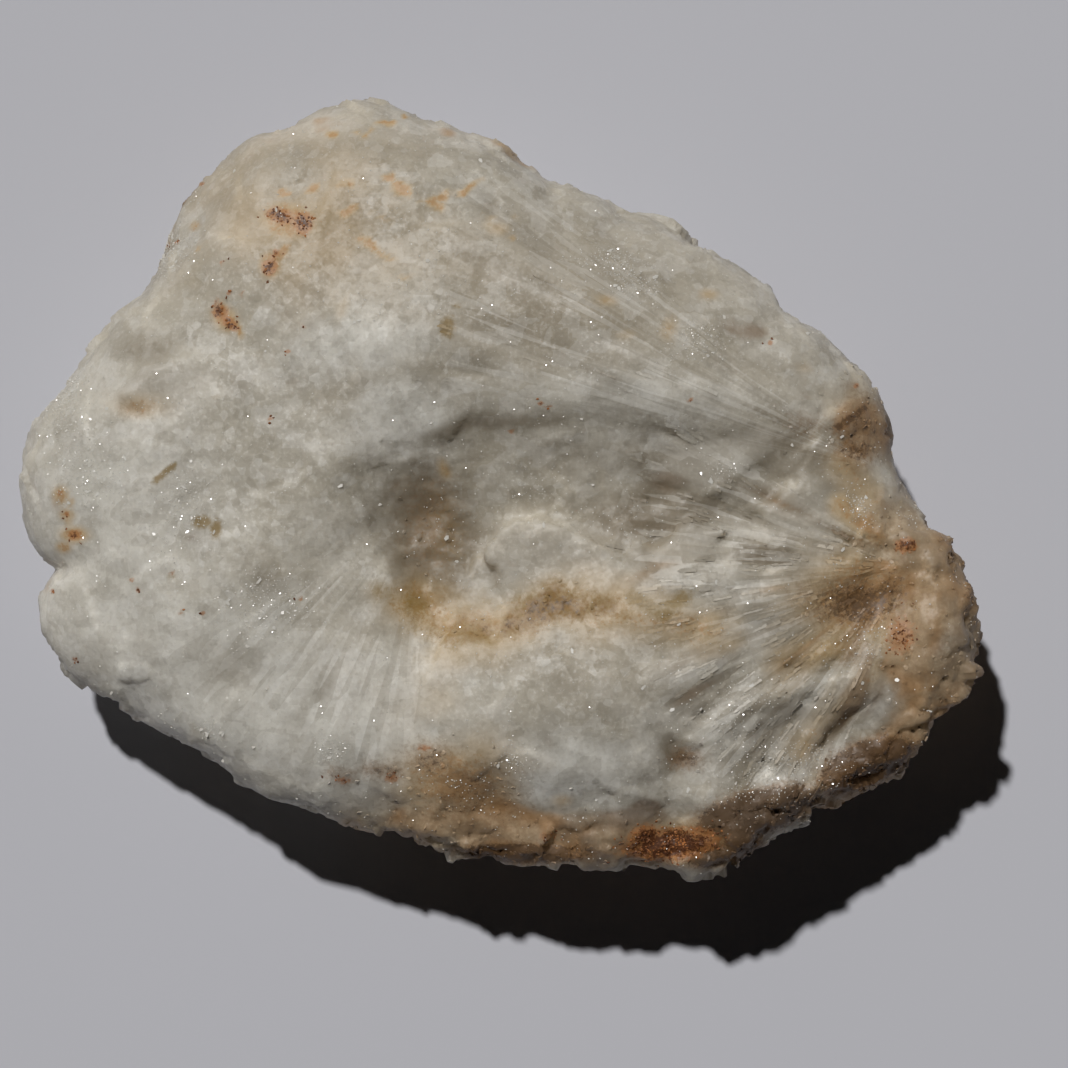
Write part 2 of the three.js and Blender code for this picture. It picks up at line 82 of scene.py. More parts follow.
def normals_of(mesh):
    """Which way a mesh's skin faces at each of its points."""
    flat = np.empty(len(mesh.vertices) * 3)
    mesh.vertices.foreach_get("normal", flat)
    return flat.reshape(-1, 3)


def chance(cells, seed):
    """A repeatable number from 0 to 1 for each whole-numbered cell."""
    mixed = cells @ np.array([127.1, 311.7, 74.7])[: cells.shape[1]] + seed * 19.19
    mixed = np.sin(mixed) * 43758.5453
    return mixed - np.floor(mixed)


def smooth(share):
    """From 0 to 1 with soft ends, held at both."""
    share = np.clip(share, 0, 1)
    return share * share * (3 - 2 * share)


def noise(p, size, seed):
    """Smooth noise from -1 to 1, with shapes of about the size given."""
    scaled = p / size
    cell = np.floor(scaled)
    within = smooth(scaled - cell)
    total = np.zeros(len(p))
    for corner in np.ndindex(*(2,) * p.shape[1]):
        share = np.prod(np.where(corner, within, 1 - within), axis=1)
        total += share * chance(cell + corner, seed)
    return total * 2 - 1


def rough_noise(p, size, seed, levels=3):
    """Noise with finer and fainter noise on it."""
    return sum(noise(p, size / 2**k, seed + k) / 2**k for k in range(levels)) / 1.6


def facets(p, size, seed):
    """Broken facets of about the size given: tilted bumps, of which the highest shows."""
    scaled = p / size
    cell = np.floor(scaled)
    highest = np.full(len(p), -9.0)
    for near in np.ndindex(*(3,) * p.shape[1]):
        spot = cell + near - 1
        away = [scaled[:, k] - spot[:, k] - chance(spot, seed + k) for k in range(p.shape[1])]
        tilt = sum((chance(spot, seed + 5 + k) * 2 - 1) * part for k, part in enumerate(away))
        bump = chance(spot, seed + 9) - 0.5 + tilt - sum(part * part for part in away)
        highest = np.maximum(highest, bump)
    return highest


def nearest_cell(p, size, seed):
    """The irregular cell that each point lies in, and how far the point is from its middle."""
    scaled = p / size
    cell = np.floor(scaled)
    nearest = np.full(len(p), 9.0)
    best = np.zeros_like(scaled)
    offset = np.zeros_like(scaled)
    for near in np.ndindex(*(3,) * p.shape[1]):
        spot = cell + near - 1
        away = scaled - spot - np.stack([chance(spot, seed + k) for k in range(p.shape[1])], axis=1)
        distance = (away**2).sum(axis=1)
        closer = distance < nearest
        best[closer] = spot[closer]
        offset[closer] = away[closer]
        nearest = np.minimum(distance, nearest)
    return best, offset


def blocks(p, size, seed):
    """Flat broken faces of about the size given, each tilted its own way, with small steps between them."""
    spot, away = nearest_cell(p, size, seed)
    tilt = sum((chance(spot, seed + 5 + k) * 2 - 1) * away[:, k] for k in range(p.shape[1]))
    return (chance(spot, seed + 9) - 0.5) * 0.5 + tilt


def patch(p, middle, radii, turn=0.0):
    """1 at the middle of a rounded patch of the plan, falling to 0 past its two radii."""
    angle = math.radians(turn)
    dx = p[:, 0] - middle[0]
    dy = p[:, 1] - middle[1]
    along = (dx * math.cos(angle) + dy * math.sin(angle)) / radii[0]
    across = (-dx * math.sin(angle) + dy * math.cos(angle)) / radii[1]
    return np.exp(-(along**2 + across**2))


def inside(p, rim, soft=0.35):
    """1 inside a convex outline of the plan, walked clockwise, falling to 0 at its edge."""
    share = np.ones(len(p))
    for (ax, ay), (bx, by) in zip(rim, rim[1:] + rim[:1]):
        length = math.hypot(bx - ax, by - ay)
        depth = ((p[:, 0] - ax) * (by - ay) - (p[:, 1] - ay) * (bx - ax)) / length
        share = np.minimum(share, smooth(depth / soft))
    return share


def streak(p, line, width):
    """1 along a chain of points of the plan, falling to 0 past the width."""
    nearest = np.full(len(p), 1e9)
    for (ax, ay), (bx, by) in zip(line, line[1:]):
        run_x = bx - ax
        run_y = by - ay
        squared = run_x * run_x + run_y * run_y
        along = np.clip(((p[:, 0] - ax) * run_x + (p[:, 1] - ay) * run_y) / squared, 0, 1)
        nearest = np.minimum(nearest, np.hypot(p[:, 0] - ax - run_x * along, p[:, 1] - ay - run_y * along))
    return np.exp(-((nearest / width) ** 2))


def in_fan(p, root, first, last, reach, soft=8.0):
    """Share of a fan at each point, and its turn in degrees and distance from the root."""
    dx = p[:, 0] - root[0]
    dy = p[:, 1] - root[1]
    away = np.hypot(dx, dy)
    turn = np.degrees(np.arctan2(dy, dx)) % 360
    share = smooth((turn - first) / soft + 0.5) * smooth((last - turn) / soft + 0.5)
    return share * smooth((reach - away) / 6) * smooth(away / 3), turn, away


def fan_blocks(turn, away, wide, long, seed):
    """Long broken faces that follow a fan's rays, wide in degrees and long in millimetres."""
    return blocks(np.stack([turn / wide, away / long], axis=1), 1.0, seed)


# Where the three fans spread from, in the plan
FAN_ROOT = (40.5, -8.0)
BAND_ROOT = (38.0, 1.5)
FIBRE_ROOT = (-7.0, 0.0)

# Tops of the cleavage plates, which are only half as rough
PLATES = [
    [(-2.0, -7.5), (-0.3, -3.9), (4.0, -3.2), (11.0, -6.0), (13.6, -10.7), (8.0, -11.6), (1.2, -10.0)],
    [(25.4, -3.7), (28.0, -0.1), (31.4, -1.0), (33.6, -4.1), (29.2, -5.4)],
    [(14.4, 1.3), (18.6, 4.3), (26.4, 6.0), (27.0, 3.3), (20.2, -0.7)],
    [(14.2, -7.0), (18.4, -3.9), (22.2, -4.5), (20.2, -7.0), (16.7, -9.0)],
    [(12.6, -6.2), (13.2, -5.2), (14.4, -5.6), (14.2, -7.4), (13.0, -7.4)],
    [(-37.8, 8.5), (-34.8, 11.3), (-29.8, 12.5), (-26.8, 10.6), (-31.8, 6.0)],
]

# Where each point of the skin is, in millimetres, and which way it faces
p = points_of(lump_mesh)
facing = normals_of(lump_mesh)
on_top = smooth((facing[:, 2] - 0.05) / 0.4) * smooth((p[:, 2] - 6) / 5)
free = smooth((p[:, 2] - 0.3) / 1.2)  # 0 on the face that it rests on

# The fan of the crusted end, the band of long blades above it, and the fine fibres of the left side
fan, fan_turn, fan_away = in_fan(p, FAN_ROOT, 146, 250, 31)
band, band_turn, band_away = in_fan(p, BAND_ROOT, 142, 170, 52)
fibre, fibre_turn, fibre_away = in_fan(p, FIBRE_ROOT, 212, 268, 34)
fan = fan * on_top
band = band * on_top * (1 - fan)
fibre = fibre * on_top * smooth((fibre_away - 7) / 7)
massive = 1 - np.maximum(np.maximum(fan, band * 0.7), fibre * 0.5)

plate = np.maximum.reduce([inside(p, rim) for rim in PLATES]) * on_top

# How far each point rises, in millimetres: broken faces all over, long ones along the rays
rise = 0.26 * blocks(p, 6.5, 11) + 0.1 * blocks(p, 2.8, 12) + 0.03 * blocks(p, 1.3, 13)
rise *= 0.3 + 0.7 * massive
rise += 0.15 * rough_noise(p, 9, 14) + 0.05 * facets(p, 1.6, 15)
for share, turn, away, height, wide, long, seed in (
    (fan, fan_turn, fan_away, 0.22, 10, 11, 21),
    (fan, fan_turn, fan_away, 0.1, 4, 6, 22),
    (fan, fan_turn, fan_away, 0.08, 2, 3, 25),
    (band, band_turn, band_away, 0.12, 3.4, 10, 31),
    (band, band_turn, band_away, 0.05, 1.5, 6, 32),
    (fibre, fibre_turn, fibre_away, 0.05, 7, 8, 41),
    (fibre, fibre_turn, fibre_away, 0.03, 3, 5, 42),
):
    rise += share * height * fan_blocks(turn, away, wide, long, seed)

# The worn crust, the hackly breaks, two raised grains and the steep sides
worn = np.maximum(
    streak(p, [(38.1, -5.0), (44.1, -7.4), (47.0, -15.4), (44.6, -21.4), (39.6, -27.4), (24.0, -37.0)], 4.5),
    streak(p, [(-9.0, -34.0), (-4.0, -35.5), (10.0, -36.0), (24.0, -37.0)], 3.0),
)
hackly = np.maximum.reduce([
    patch(p, (-4.0, -6.0), (8, 9)),
    patch(p, (11.0, -3.0), (14, 6)),
    patch(p, (26.0, -4.0), (9, 7)),
    patch(p, (26.0, -24.0), (11, 8), 25),
    patch(p, (33.0, 5.0), (5, 5)),
    patch(p, (-36.0, 8.0), (8, 6)) * 0.5,
])
rise += hackly * on_top * (0.4 * blocks(p * (1, 1.4, 1), 3.4, 23) + 0.16 * blocks(p, 1.6, 24))
rise += patch(p, (36.4, -20.4), (3.4, 2.6), 45) * 1.3 + patch(p, (20.0, -1.2), (4.5, 1.8), 20) * 0.7
steep = smooth((0.75 - facing[:, 2]) / 0.5)
rise += steep * (0.7 * blocks(p, 7.0, 26) + 0.36 * blocks(p, 3.2, 27))
rise += worn * (0.9 * blocks(p, 4.2, 16) + 0.4 * blocks(p, 2.0, 17) + 0.25 * facets(p, 1.2, 18))
rise *= 1 - plate * 0.5

p = p + facing * (rise * free)[:, None]
p[:, 2] = np.maximum(p[:, 2], 0)
lump_mesh.vertices.foreach_set("co", (p * MM).ravel())
lump_mesh.update()

# Where the stains are, each as a mask over the skin. Those along cracks wander and break off.
wander = np.stack([rough_noise(p, 3.4, seed) * 1.4 for seed in (52, 53, 54)], axis=1)
frayed_place = p + wander * 0.8
broken_up = 0.55 + 0.75 * smooth(rough_noise(p, 2.4, 55) * 1.4 + 0.5)
crust = np.maximum.reduce([
    streak(p, [(40.1, -5.0), (44.1, -7.4), (47.0, -15.4), (44.6, -21.4), (39.6, -27.4), (34.1, -31.0)], 4.6),
    patch(p, (36.0, 6.4), (4.0, 5.0)),
    patch(p, (42.0, -16.0), (5.0, 9.0)) * 0.9,
    patch(p, (-4.9, -34.0), (14, 3.6)),
    patch(p, (9.3, -34.6), (7, 3.6)) * 0.9,
    patch(p, (36.0, -21.0), (4.0, 3.0), 50) * 0.5,
])

# The floor of the hollow, whose stains stop at its left wall
HOLLOW = [(-15.6, 1.6), (-6.0, 6.0), (6.0, 5.0), (14.0, 2.0), (14.0, -9.0), (2.0, -13.0), (-9.8, -12.4)]
hollow = inside(p, HOLLOW, 0.8)
# Iron stains, and in part painted shade: the strongest patches darken the facets of the lower right that face
# away from the lamp and the ledge along the lower edge.
brown = np.maximum.reduce([
    patch(p, (35.4, -11.6), (6.0, 3.0), 5),
    patch(p, (38.6, -10.4), (3.0, 3.0)) * 0.8,
    patch(p, (-3.0, -30.4), (7.0, 4.6)) * 0.66,
    patch(p, (-6.6, -27.0), (3.6, 2.6)) * 0.75,
    # The lower edge: iron stain, and painted shade on its ledge.
    patch(p, (2.5, -36.4), (7.0, 1.2)) * 1.6,
    patch(p, (20.6, -36.4), (3.0, 1.6)) * 1.6,
    patch(p, (18.4, -26.8), (2.4, 1.8)) * 0.8,
    patch(p, (30.5, -11.0), (3.5, 2.5)) * 0.5,
    patch(p, (35.2, -16.4), (3.0, 2.4)) * 0.6,
    patch(p, (35.0, 3.4), (3.0, 2.0)) * 0.8,
    patch(p, (0.6, -32.4), (3.6, 2.4)) * 0.6,
    streak(p, [(-16.5, -28.2), (-14.5, -28.6)], 1.3) * 0.6,
    streak(p, [(-12.6, -27.8), (-10.0, -28.1)], 1.4) * 0.7,
    patch(p, (36.0, 6.0), (3.2, 3.0)) * 0.7,
    streak(p, [(33.1, 5.6), (36.1, 7.6)], 0.7),
    patch(p, (30.0, 6.0), (3.4, 2.0)) * 0.5,
    # Painted shade: facets of the lower right that face away from the lamp.
    patch(p, (36.4, -27.6), (4.8, 2.2), 22) * 2.2,
    patch(p, (25.4, -32.2), (6.0, 2.2), 15) * 2.2,
    patch(p, (23.6, -35.8), (3.4, 2.2)) * 1.3,
    patch(p, (17.0, -36.8), (7.0, 1.4)) * 0.8,
    patch(p, (46.6, -10.6), (1.6, 3.6), -15) * 0.8,
    patch(p, (44.0, -22.0), (2.0, 4.0), -30) * 0.6,
    patch(p, (-35.4, 7.4), (2.6, 1.3)) * 0.55,
    streak(frayed_place, [(-9.0, -11.6), (-4.0, -14.0), (1.0, -13.2), (6.0, -11.6), (12.0, -12.4)], 2.1)
    * 0.6 * broken_up,
    patch(p, (-6.6, -4.0), (4.4, 7.0)) * 0.56 * hollow,
])
# Whiter stone, and in part painted light: these patches lighten the lower left, the low dome and other slopes
# that face away from the lamp, and shaded ledges and grooves.
milk_and_painted_light = np.maximum.reduce([
    patch(p, (-37.0, -3.0), (12, 16)) * 0.85,
    patch(p, (-28.0, -19.0), (20, 8), -28) * 1.3,
    patch(p, (-12.0, -23.0), (10, 7)) * 1.2,
    patch(p, (4.0, -24.0), (13, 5)) * 0.25,
    patch(p, (6.0, -27.6), (8, 3.6)) * 1.3,
    # Painted light: lightens the shade of the ledge at the left end of the lip.
    patch(p, (-9.6, 6.2), (5, 4)) * 1.3,
    patch(p, (-13.0, 13.6), (8, 3), 10) * 1.1,
    patch(p, (36.6, -20.6), (2.4, 2.0)) * 1.6,
    streak(p, [(26.0, -29.2), (33.0, -26.6)], 1.5),
    streak(p, [(31.0, -20.6), (21.0, -24.8)], 1.0),
    patch(p, (13.0, 8.6), (16, 3)) * 0.7,
    patch(p, (20.0, -25.0), (7, 5)) * 0.6,
])
# Duller, warmer stone, and in part painted shade: these patches darken the crown, the upper left and the
# slope of the low dome, which face the lamp.
dim_and_painted_shade = np.maximum.reduce([
    patch(p, (-16.0, 32.0), (12, 7)) * 0.9,
    patch(p, (10.0, -18.5), (8, 4)) * 0.9,
    patch(p, (26.0, -28.0), (7, 4), 20) * 0.8,
    patch(p, (-18.0, 25.0), (16, 8)) * 0.95,
    patch(p, (-33.0, 1.0), (5, 9)) * 0.8,
    patch(p, (-14.5, 8.6), (4, 2.4)) * 0.8,
    patch(p, (4.0, 18.0), (16, 9)) * 1.2,
    patch(p, (24.0, 12.0), (9, 7)) * 0.5,
    patch(p, (6.0, -16.0), (12, 3.4)) * 0.9,
    patch(p, (-3.0, -13.0), (5, 4)) * 0.8,
    patch(p, (2.0, -5.0), (14, 6)) * 0.5,
    patch(p, (6.0, -22.0), (12, 5)) * 0.4,
])
DOTS = [
    (-32.0, 24.2), (-33.2, 24.2), (-27.5, 33.3), (-29.7, 30.2), (-26.2, 18.7), (-25.0, 18.5), (-27.5, 18.0),
    (-26.9, 21.6), (-22.1, 6.3), (1.3, 5.2), (18.6, 8.2), (26.6, 13.9), (35.3, 9.8), (-31.9, -8.7),
    (-35.9, -9.3), (-35.3, -10.2), (-28.8, -12.5), (-31.0, -12.4), (-19.3, -11.1), (-44.2, -10.5),
    (-42.0, -17.2), (-43.1, -0.8), (-42.5, -2.8), (4.1, 7.9), (4.9, 7.6), (-20.4, 12.9), (-18.9, 15.4),
]
rust = np.maximum.reduce([
    patch(p, (16.9, -35.4), (4.6, 1.6), 6) * 1.3,
    patch(p, (14.6, -34.6), (1.6, 1.2)) * 1.1,
    patch(p, (40.0, -5.9), (1.2, 0.8)),
    patch(p, (39.5, -14.8), (1.8, 2.4)) * 0.66,
    patch(p, (-21.3, 26.3), (1.6, 0.8), -20),
    patch(p, (-19.0, 25.5), (1.0, 1.2)),
    patch(p, (-22.2, 21.1), (0.8, 0.9)),
    patch(p, (-21.6, 22.5), (0.4, 0.7)) * 0.8,
    patch(p, (-27.2, 16.9), (0.9, 0.7)),
    patch(p, (-26.2, 15.8), (1.2, 0.5), -45),
    patch(p, (-41.7, -4.9), (0.9, 0.6)) * 0.8,
    patch(p, (-7.2, -25.7), (1.1, 0.5)) * 0.6,
    patch(p, (-10.5, -28.8), (0.9, 0.6)) * 0.7,
    patch(p, (-15.3, -29.0), (1.2, 0.5)) * 0.6,
    patch(p, (5.0, -34.6), (1.4, 0.7)) * 0.5,
    *(patch(p, dot, (0.36, 0.3)) * 0.8 for dot in DOTS),
])
VEINS = [
    [(-17.2, 34.3), (-14.0, 34.9)],
    [(-12.4, 34.5), (-9.6, 37.0)],
    [(-22.2, 28.7), (-14.6, 29.6), (-10.5, 29.6), (-8.1, 29.0)],
    [(-16.3, 25.2), (-14.9, 26.3), (-11.6, 26.3), (-9.6, 25.5)],
    [(-7.8, 27.0), (-4.9, 27.6), (-1.4, 29.6)],
    [(-0.5, 25.2), (1.6, 24.3)],
    [(-29.2, 23.6), (-26.6, 23.8)],
    [(-27.2, 16.9), (-25.0, 14.5)],
    [(-22.2, 21.1), (-21.5, 23.4)],
    [(-21.5, 26.6), (-17.0, 26.0), (-13.0, 27.0)],
    [(-10.5, 29.6), (-5.0, 26.6), (2.0, 24.8)],
    [(-13.0, 24.0), (-9.0, 20.6), (-6.0, 21.4)],
    [(-9.6, 16.6), (-8.8, 13.0)],
    [(-41.9, -0.8), (-42.5, -2.8), (-41.6, -4.9), (-42.9, -6.1)],
]
vein_breaks = smooth(rough_noise(p, 1.5, 51, 2) * 1.6 + 0.4)
ochre = np.maximum.reduce([
    *(streak(p + wander, vein, 0.55) * vein_breaks * 1.1 for vein in VEINS),
    patch(p, (-20.4, 25.8), (3.4, 2.2), -15) * 1.1,
    patch(p, (-22.2, 21.4), (1.3, 1.7)) * 1.1,
    patch(p, (-26.6, 16.2), (1.7, 1.2), -45) * 1.1,
    patch(p, (-43.0, -1.0), (0.8, 0.8)) * 1.1,
    patch(p, (-42.4, -2.9), (0.8, 0.6)),
    patch(p, (-41.8, -4.9), (1.5, 0.8)) * 1.2,
    patch(p, (-42.9, -6.1), (0.9, 0.7)),
    patch(p, (-30.1, 25.7), (0.9, 0.8)) * 0.8,
    patch(p, (0.1, 25.1), (1.6, 1.0)) * 0.6,
    patch(p, (10.7, 17.9), (1.4, 0.7)) * 0.6,
    patch(p, (16.6, 15.2), (1.2, 1.4)) * 0.7,
    patch(p, (20.6, 18.7), (1.2, 0.7)) * 0.6,
    patch(p, (12.6, 14.6), (1.2, 0.7)) * 0.5,
    patch(p, (30.0, 11.4), (1.4, 0.9)) * 0.5,
    patch(p, (-5.3, 1.6), (0.7, 1.4), 20) * 0.8,
    patch(p, (-7.9, -12.0), (1.2, 1.2)) * 0.9,
    streak(p, [(6.2, -11.3), (9.0, -11.8)], 0.9) * 0.8,
    streak(frayed_place, [(-9.0, -11.6), (-4.0, -14.2), (1.0, -13.4), (6.0, -11.6), (12.0, -12.4)], 3.4)
    * 0.75,
    streak(frayed_place, [(12.1, -12.6), (16.0, -13.4), (20.9, -14.4)], 3.0) * 0.7,
    patch(p, (-15.1, 17.1), (1.0, 2.4), -20) * 0.5,
    patch(p, (-34.9, 7.6), (3.2, 1.6)) * 0.7,
    patch(p, (-4.0, -15.8), (7.0, 3.4)) * 0.55,
    patch(p, (-7.0, -20.6), (6.0, 5.0)) * 0.4,
    patch(p, (-4.0, -29.6), (6.5, 5.0)),
    patch(p, (39.6, -14.6), (3.0, 3.6)) * 1.1,
    patch(p, (37.0, -11.0), (8.0, 6.0)),
    patch(p, (40.0, -6.6), (3.4, 2.6)) * 0.9,
    streak(p, [(33.6, -2.0), (37.6, -5.6)], 1.6) * 0.8,
    streak(p, [(36.0, -15.0), (28.0, -17.0)], 2.4) * 0.6,
    streak(p, [(37.0, -18.0), (30.0, -26.0)], 2.4) * 0.6,
    patch(p, (43.0, -20.0), (3.0, 5.0), -30) * 0.8,
    patch(p, (44.0, -12.0), (2.0, 4.0), -10) * 0.6,
    patch(p, (6.2, -30.9), (1.4, 0.9)) * 0.7,
    streak(p, [(34.0, 2.0), (38.0, -3.0), (33.0, -8.0)], 2.6) * 0.6,
    patch(p, (16.9, -35.2), (6.0, 2.4), 6),
    patch(p, (-18.0, 25.0), (15.0, 10.0), -10) * 0.5,
])
olive = np.maximum.reduce([
    streak(frayed_place, [(-9.9, -11.2), (-7.9, -12.9), (-3.9, -14.6), (0.1, -13.9)], 1.8) * 0.8 * broken_up,
    streak(frayed_place, [(0.1, -13.9), (2.1, -12.4), (6.1, -11.4), (12.1, -12.4)], 1.8) * 0.85 * broken_up,
    streak(p, [(13.1, -11.0), (16.1, -12.6), (18.1, -10.9)], 1.0) * 0.9,
    patch(p, (-8.0, -11.6), (2.2, 2.0)) * 0.9,
    patch(p, (-5.6, -4.5), (3.4, 5.5)) * 0.45,
    patch(p, (-28.9, -3.6), (1.0, 0.7)) * 1.4,
    patch(p, (-27.5, -4.3), (0.6, 1.0)) * 1.4,
    streak(p, [(-33.4, 0.4), (-31.6, 1.9)], 0.4) * 1.1,
    patch(p, (-4.9, 15.2), (0.8, 1.2)) * 1.3,
    patch(p, (-3.9, 17.3), (0.7, 0.4)) * 0.7,
    patch(p, (-31.9, -8.9), (0.6, 0.4)) * 0.7,
    patch(p, (-27.4, 8.6), (0.7, 0.4)) * 0.6,
    patch(p, (33.0, -16.0), (6.0, 4.0), 20) * 0.5,
])
# Greyer clear grains, and in part painted shade: the grey also darkens the hollow, the slope along and under
# its lip and a shaded facet of the lower right.
grey_and_painted_shade = np.maximum.reduce([
    patch(p, (-6.6, -5.4), (5.4, 7.0)) * 1.35 * hollow,
    patch(p, (10.0, -1.4), (4.0, 2.6)) * 0.6,
    patch(p, (15.4, -6.4), (3.4, 3.4)) * 0.8,
    patch(p, (26.6, -7.0), (5.0, 2.4)) * 0.9,
    patch(p, (27.4, -1.4), (5.0, 2.6)) * 0.7,
    patch(p, (-34.4, 13.4), (4.0, 2.4)) * 0.75,
    patch(p, (-4.9, -7.4), (2.4, 2.4)) * 1.2,
    patch(p, (15.1, -3.4), (7.5, 4.0)),
    # Painted shade: the slope under the lip and along it.
    patch(p, (6.0, 2.6), (12.0, 3.0)) * 0.6,
    streak(p, [(-7.0, 4.4), (-2.8, 6.0), (6.2, 6.0)], 1.2) * 0.7,
    patch(p, (30.0, 2.5), (7.0, 6.0)) * 0.7,
    patch(p, (17.2, -26.0), (2.0, 2.4)),
    patch(p, (19.0, -23.5), (4.0, 5.0)) * 0.5,
    patch(p, (26.0, -24.0), (9.0, 6.0)) * 0.5,
    patch(p, (30.0, -13.0), (8.0, 4.0)) * 0.6,
    patch(p, (-34.0, 10.5), (5.0, 3.0), 25) * 0.45,
    patch(p, (-27.0, -17.0), (5.0, 3.4)) * 0.45,
    patch(p, (-39.4, -17.0), (2.6, 3.0)) * 0.55,
    patch(p, (-22.0, -9.0), (3.0, 3.4)) * 0.45,
    patch(p, (-20.0, -24.0), (5.0, 3.0), 60) * 0.3,
    patch(p, (-2.0, 1.0), (5.0, 3.0)) * 0.5,
    # Painted shade: a facet of the lower right that faces away from the lamp.
    patch(p, (23.6, -36.2), (3.4, 2.2)) * 0.9,
])
# The hidden side has its own few stains, and more grit along its foot
under = 1 - smooth((facing[:, 2] + 0.35) / 0.4)
flank = smooth((0.45 - np.abs(facing[:, 2])) / 0.3)
crust = np.maximum(crust, under * smooth(rough_noise(p, 14, 61) * 1.6 - 0.1) * 0.8)
crust = np.maximum(crust, flank * smooth(rough_noise(p, 11, 62) * 1.5 - 0.25) * 0.7)
ochre = np.maximum(ochre, under * smooth(rough_noise(p, 9, 63) * 1.5) * 0.6)
rust = np.maximum(rust, under * smooth(rough_noise(p, 7, 64) * 2 - 0.9) * 0.8)
grey_and_painted_shade = np.maximum(grey_and_painted_shade, (under + flank * 0.5) * smooth(rough_noise(p, 12, 65) + 0.3) * 0.6)

# Where the grains lie open and glitter
glitter = np.maximum.reduce([
    patch(p, (11.5, 21.5), (4.0, 1.6), -12),
    patch(p, (13.0, 19.6), (3.0, 2.2), -15),
    patch(p, (19.2, 14.0), (3.4, 2.2)),
    patch(p, (-42.5, 7.5), (3.5, 5.0)),
    patch(p, (-40.5, 2.0), (4.5, 5.0)),
    patch(p, (-30.5, -1.5), (3.5, 4.5)),
    patch(p, (-22.5, -11.5), (6.0, 3.5), 15),
    patch(p, (-34.0, 24.0), (3.0, 5.0), 60),
    patch(p, (-16.5, -26.0), (2.5, 1.6)),
    patch(p, (1.6, -26.8), (2.2, 2.0)),
    patch(p, (22.0, 1.6), (2.2, 1.6)),
    patch(p, (35.3, -2.4), (1.4, 2.8), 30),
    patch(p, (28.0, -28.0), (7.0, 4.0), 20) * 0.8,
    patch(p, (23.0, -22.0), (6.0, 3.5), 25) * 0.7,
    patch(p, (36.0, -15.5), (4.0, 2.5), 40) * 0.6,
    patch(p, (-3.0, -30.0), (6.0, 4.0)) * 0.4,
    patch(p, (3.0, 0.5), (5.0, 3.0)) * 0.5,
    fan * 0.2,
    hackly * on_top * 0.25,
    smooth(rough_noise(p, 8, 71) * 1.4 - 0.2) * 0.7,
    on_top * 0.15,
])

# Places along and across the rays, for the streaks of colour that follow them
fan_flow = np.stack([fan_turn * 0.6, fan_away * 0.2, p[:, 2] * 0.3], axis=1)
left = p[:, 0] < -5  # the fibres lie left of here and the band right of it, so one mask serves both
side_flow = np.stack([
    np.where(left, fibre_turn * 0.6, band_turn * 1.4),
    np.where(left, fibre_away * 0.2, band_away * 0.15),
    np.where(left, 50.0, 0.0) + p[:, 2] * 0.3,
], axis=1)
side_fans = np.where(left, fibre, band)

# Clouds of white and grey, drawn out along the rays where there are any
cloud_points = np.stack([rough_noise(p, 5.0, seed, 4) * 0.5 + 0.5 for seed in (81, 82, 83)], axis=1)
for share, turn, away, wide in ((fan, fan_turn, fan_away, 7), (band * 0.8, band_turn, band_away, 3),
                                (fibre * 0.35, fibre_turn, fibre_away, 6)):
    rays = np.stack([turn / wide, away / 14], axis=1)
    drawn = np.stack([rough_noise(rays, 1.0, seed, 4) * 0.5 + 0.5 for seed in (84, 85, 86)], axis=1)
    cloud_points += (drawn - cloud_points) * share[:, None]

# Flat grains a few millimetres wide, each a little lighter or darker
cells, _ = nearest_cell(p * (1, 1.5, 1), 2.6, 95)
facet = chance(cells, 97)

# The way that the crystals point, out from the roots of the fans
heading = np.zeros((len(p), 3))
for root, share in ((FAN_ROOT, fan), (BAND_ROOT, band), (FIBRE_ROOT, fibre)):
    out = p[:, :2] - root
    out /= np.linalg.norm(out, axis=1)[:, None] + 1e-6
    heading[:, :2] += out * share[:, None]
bladed = np.maximum(fan, band * 0.3) * (1 - plate)

masks = {
    "crust": crust, "brown": brown, "rust": rust, "ochre": ochre, "olive": olive, "grey_and_painted_shade": grey_and_painted_shade, "milk_and_painted_light": milk_and_painted_light,
    "dim_and_painted_shade": dim_and_painted_shade, "fan": fan, "side": side_fans, "glitter": glitter, "bladed": bladed, "plate": plate,
    "free": free, "facet": facet,
}
for name, values in masks.items():
    mask = lump_mesh.attributes.new(name, "FLOAT", "POINT")
    mask.data.foreach_set("value", values.astype(np.float32))
flows = {"fan_flow": fan_flow, "side_flow": side_flow, "cloud": cloud_points, "heading": heading}
for name, values in flows.items():
    flow = lump_mesh.attributes.new(name, "FLOAT_VECTOR", "POINT")
    flow.data.foreach_set("vector", values.astype(np.float32).ravel())
for polygon in lump_mesh.polygons:
    polygon.use_smooth = True


def put(tree, kind, inputs=(), **settings):
    """Adds a node, sets what is named, and joins or fills its inputs, by number or by name."""
    made = tree.nodes.new(kind)
    for name, value in settings.items():
        setattr(made, name, value)
    for name, value in dict(inputs).items():
        if isinstance(value, bpy.types.NodeSocket):
            tree.links.new(value, made.inputs[name])
        else:
            made.inputs[name].default_value = value
    return made


def maths(tree, operation, first, second):
    return put(tree, "ShaderNodeMath", {0: first, 1: second}, operation=operation).outputs[0]


def span(tree, value, low, high):
    """Turns low to high into 0 to 1, held at both ends."""
    inputs = {"Value": value, "From Min": low, "From Max": high}
    return put(tree, "ShaderNodeMapRange", inputs, interpolation_type="SMOOTHSTEP").outputs["Result"]


def blend_colour(tree, share, under_colour, over_colour):
    """The second colour over the first, by the share."""
    mixed = put(tree, "ShaderNodeMix", data_type="RGBA")
    sockets = (mixed.inputs[0], mixed.inputs[6], mixed.inputs[7])
    for socket, value in zip(sockets, (share, under_colour, over_colour)):
        if isinstance(value, bpy.types.NodeSocket):
            tree.links.new(value, socket)
        else:
            socket.default_value = value
    return mixed.outputs[2]


